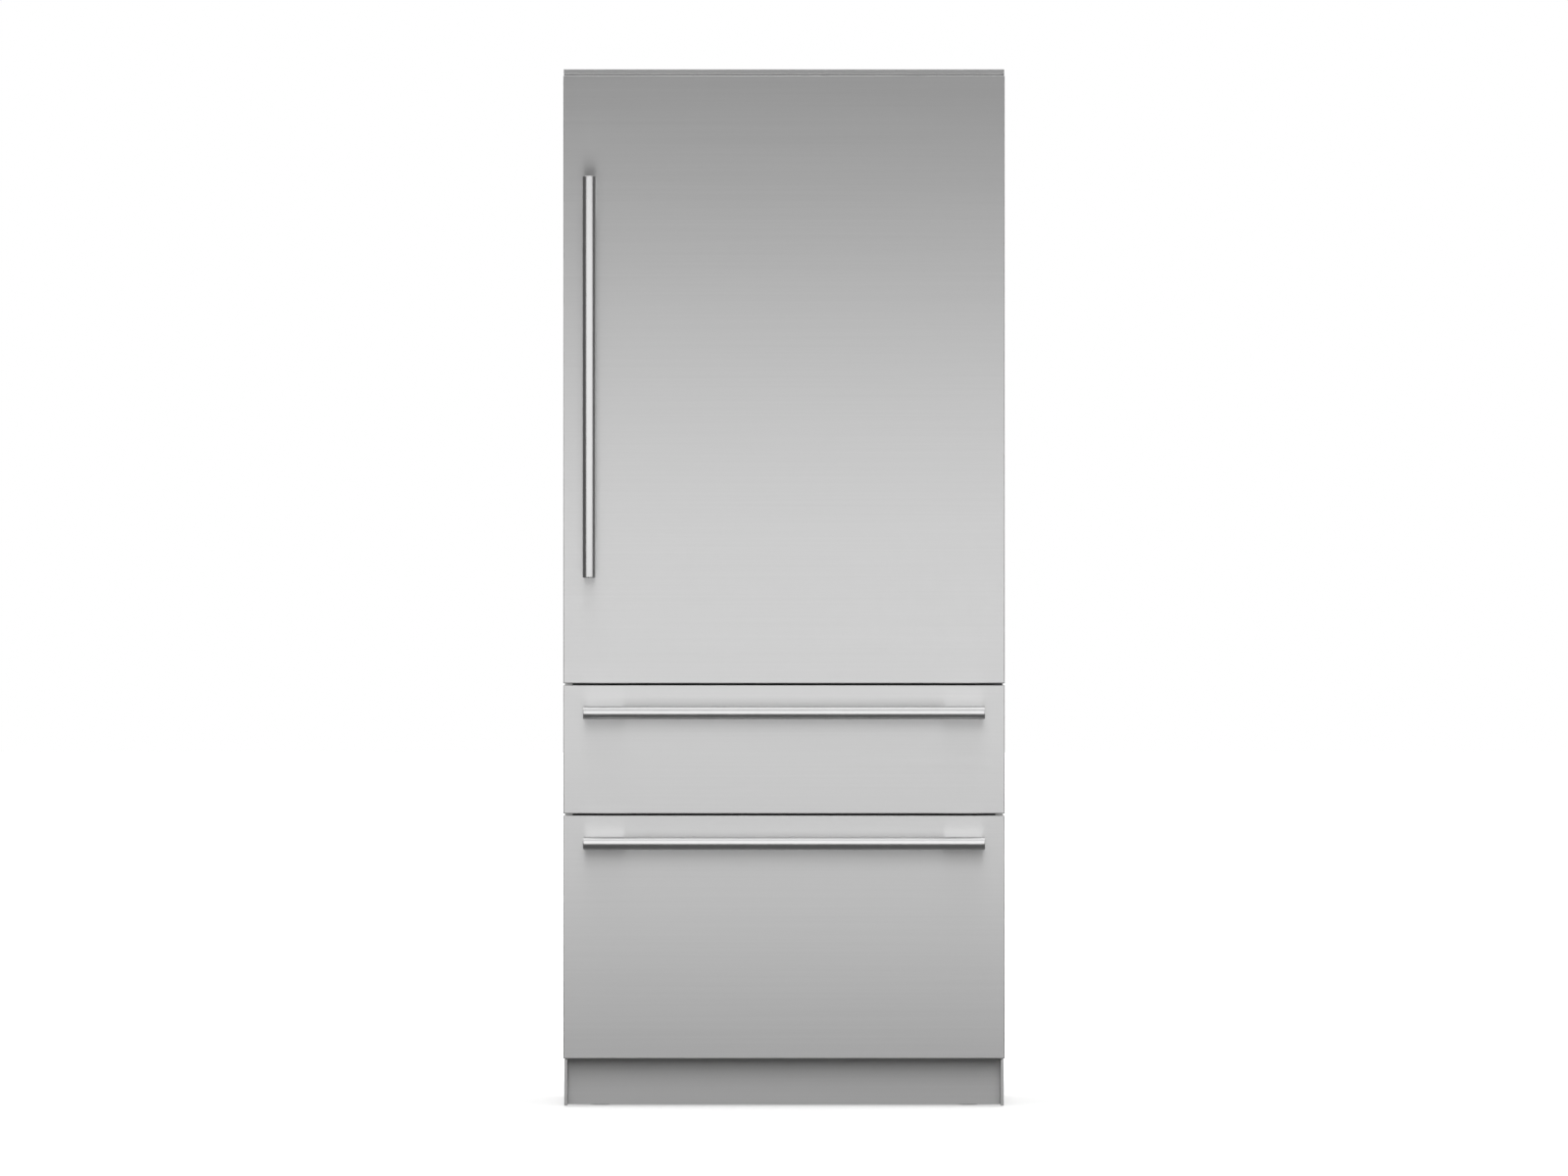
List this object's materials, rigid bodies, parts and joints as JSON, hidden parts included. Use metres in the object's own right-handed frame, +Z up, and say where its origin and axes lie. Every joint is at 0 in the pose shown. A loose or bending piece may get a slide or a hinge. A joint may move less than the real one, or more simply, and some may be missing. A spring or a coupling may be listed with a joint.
{
  "type": "built-in refrigerator with drawers",
  "caption": "Tall built-in stainless refrigerator: a wide hinged door over a shallow and a deep pull-out drawer, round bar handles and a recessed toe plate.",
  "frame": {"origin": "on the floor, under the middle of the appliance's bounding box, handles included", "axes": "+X to the right as seen from the front, +Y to the back, +Z up"},
  "size_m": [0.908, 0.692, 2.134],
  "materials": {
    "stainless_steel": "brushed stainless steel with a fine grain, satin",
    "handle_steel": "brushed stainless steel bar with a fine grain around it",
    "cabinet_steel": "light grey coated sheet steel, satin",
    "back_steel": "plain galvanised sheet steel, dull",
    "base_steel": "black coated sheet steel, satin",
    "insulation_foam": "hidden insulating foam",
    "front_core": "foam-filled front with a light grey plastic skin",
    "white_liner": "white moulded plastic, soft gloss",
    "white_plastic": "white moulded plastic, fine texture",
    "light_lens": "milky light diffuser",
    "coil_aluminium": "bare aluminium fins",
    "zinc_steel": "zinc plated steel, satin",
    "shelf_trim": "satin anodised aluminium",
    "shelf_glass": "clear toughened glass with green edges",
    "clear_plastic": "clear moulded plastic, glossy",
    "compressor_shell": "black enamelled can",
    "condenser_steel": "black coated fins and tubes",
    "black_plastic": "black moulded plastic",
    "grey_rubber": "soft grey vinyl gasket",
    "bush_plastic": "ivory bearing plastic",
    "roller_plastic": "hard grey plastic",
    "screw_steel": "dark plated screw heads"
  },
  "bodies": {
    "cabinet": {"side_panels": "cabinet_steel", "top_panel": "cabinet_steel", "back_panel": "back_steel", "machine_cover": "back_steel", "top_trim": "stainless_steel", "toe_kick": "stainless_steel", "toe_ends": "stainless_steel", "base_tray": "base_steel", "insulation": "insulation_foam", "fridge_liner": "white_liner", "drawer_liners": "white_liner", "mullions": "cabinet_steel", "control_panel": "white_plastic", "light_bars": "light_lens", "duct_cover": "white_plastic", "evaporator": "coil_aluminium", "shelf_tracks": "zinc_steel", "shelf_frames": "shelf_trim", "shelf_glass": "shelf_glass", "crisper_rails": "white_plastic", "hinge_brackets": "base_steel", "soffit_brackets": "base_steel", "runner_outers": "zinc_steel", "compressor": "compressor_shell", "condenser": "condenser_steel", "drip_pan": "black_plastic", "water_valve": "white_plastic", "power_inlet": "black_plastic", "cabinet_screws": "screw_steel"},
    "door": {"door_panel": "stainless_steel", "door_body": "front_core", "door_liner": "white_liner", "door_gasket": "grey_rubber", "door_bins": "clear_plastic", "door_handle": "handle_steel", "hinge_bushes": "bush_plastic"},
    "dairy_lid": {"dairy_lid": "clear_plastic"},
    "upper_drawer": {"upper_front_panel": "stainless_steel", "upper_front_body": "front_core", "upper_gasket": "grey_rubber", "upper_handle": "handle_steel", "upper_box": "white_plastic", "upper_runner_inner": "zinc_steel"},
    "lower_drawer": {"lower_front_panel": "stainless_steel", "lower_front_body": "front_core", "lower_gasket": "grey_rubber", "lower_handle": "handle_steel", "lower_box": "white_plastic", "lower_runner_inner": "zinc_steel"},
    "upper_runner": {"upper_runner_middle": "zinc_steel"},
    "lower_runner": {"lower_runner_middle": "zinc_steel"},
    "lower_basket": {"lower_basket": "clear_plastic"},
    "left_crisper": {"left_crisper": "clear_plastic"},
    "right_crisper": {"right_crisper": "clear_plastic"},
    "cooling_fan": {"cooling_fan": "black_plastic"},
    "condenser_fan": {"condenser_fan": "black_plastic"},
    "rear_roller_left": {"rear_roller_left": "roller_plastic"},
    "rear_roller_right": {"rear_roller_right": "roller_plastic"},
    "front_foot_left": {"front_foot_left": "base_steel"},
    "front_foot_right": {"front_foot_right": "base_steel"}
  },
  "joints": [
    {"name": "door_hinge", "type": "hinge", "parent": "cabinet", "child": "door", "pos_m": [0.44, -0.249, 1.496], "axis": [0, 0, 1], "range_deg": [0, 105]},
    {"name": "dairy_lid_hinge", "type": "hinge", "parent": "door", "child": "dairy_lid", "pos_m": [0, -0.0755, 2.0112], "axis": [1, 0, 0], "range_deg": [0, 90]},
    {"name": "upper_drawer_slide", "type": "slide", "parent": "cabinet", "child": "upper_drawer", "axis": [0, -1, 0], "range_m": [0, 0.42]},
    {"name": "lower_drawer_slide", "type": "slide", "parent": "cabinet", "child": "lower_drawer", "axis": [0, -1, 0], "range_m": [0, 0.42]},
    {"name": "upper_runner_slide", "type": "slide", "parent": "cabinet", "child": "upper_runner", "axis": [0, -1, 0], "range_m": [0, 0.21]},
    {"name": "lower_runner_slide", "type": "slide", "parent": "cabinet", "child": "lower_runner", "axis": [0, -1, 0], "range_m": [0, 0.21]},
    {"name": "lower_basket_slide", "type": "slide", "parent": "lower_drawer", "child": "lower_basket", "axis": [0, 1, 0], "range_m": [0, 0.218]},
    {"name": "left_crisper_slide", "type": "slide", "parent": "cabinet", "child": "left_crisper", "axis": [0, -1, 0], "range_m": [0, 0.11]},
    {"name": "right_crisper_slide", "type": "slide", "parent": "cabinet", "child": "right_crisper", "axis": [0, -1, 0], "range_m": [0, 0.11]},
    {"name": "cooling_fan_spin", "type": "hinge", "parent": "cabinet", "child": "cooling_fan", "pos_m": [0, 0.2605, 1.313], "axis": [0, 1, 0], "continuous": true},
    {"name": "condenser_fan_spin", "type": "hinge", "parent": "cabinet", "child": "condenser_fan", "pos_m": [-0.243, 0.24415, 0.123], "axis": [1, 0, 0], "continuous": true},
    {"name": "rear_roller_left_spin", "type": "hinge", "parent": "cabinet", "child": "rear_roller_left", "pos_m": [-0.38, 0.301, 0.022], "axis": [1, 0, 0], "continuous": true},
    {"name": "rear_roller_right_spin", "type": "hinge", "parent": "cabinet", "child": "rear_roller_right", "pos_m": [0.38, 0.301, 0.022], "axis": [1, 0, 0], "continuous": true},
    {"name": "front_foot_left_turn", "type": "hinge", "parent": "cabinet", "child": "front_foot_left", "pos_m": [-0.38, -0.144, 0.05], "axis": [0, 0, 1], "continuous": true},
    {"name": "front_foot_right_turn", "type": "hinge", "parent": "cabinet", "child": "front_foot_right", "pos_m": [0.38, -0.144, 0.05], "axis": [0, 0, 1], "continuous": true}
  ],
  "couplings": [
    {"joint": "upper_runner_slide", "follows": "upper_drawer_slide", "ratio": 0.5},
    {"joint": "lower_runner_slide", "follows": "lower_drawer_slide", "ratio": 0.5}
  ]
}
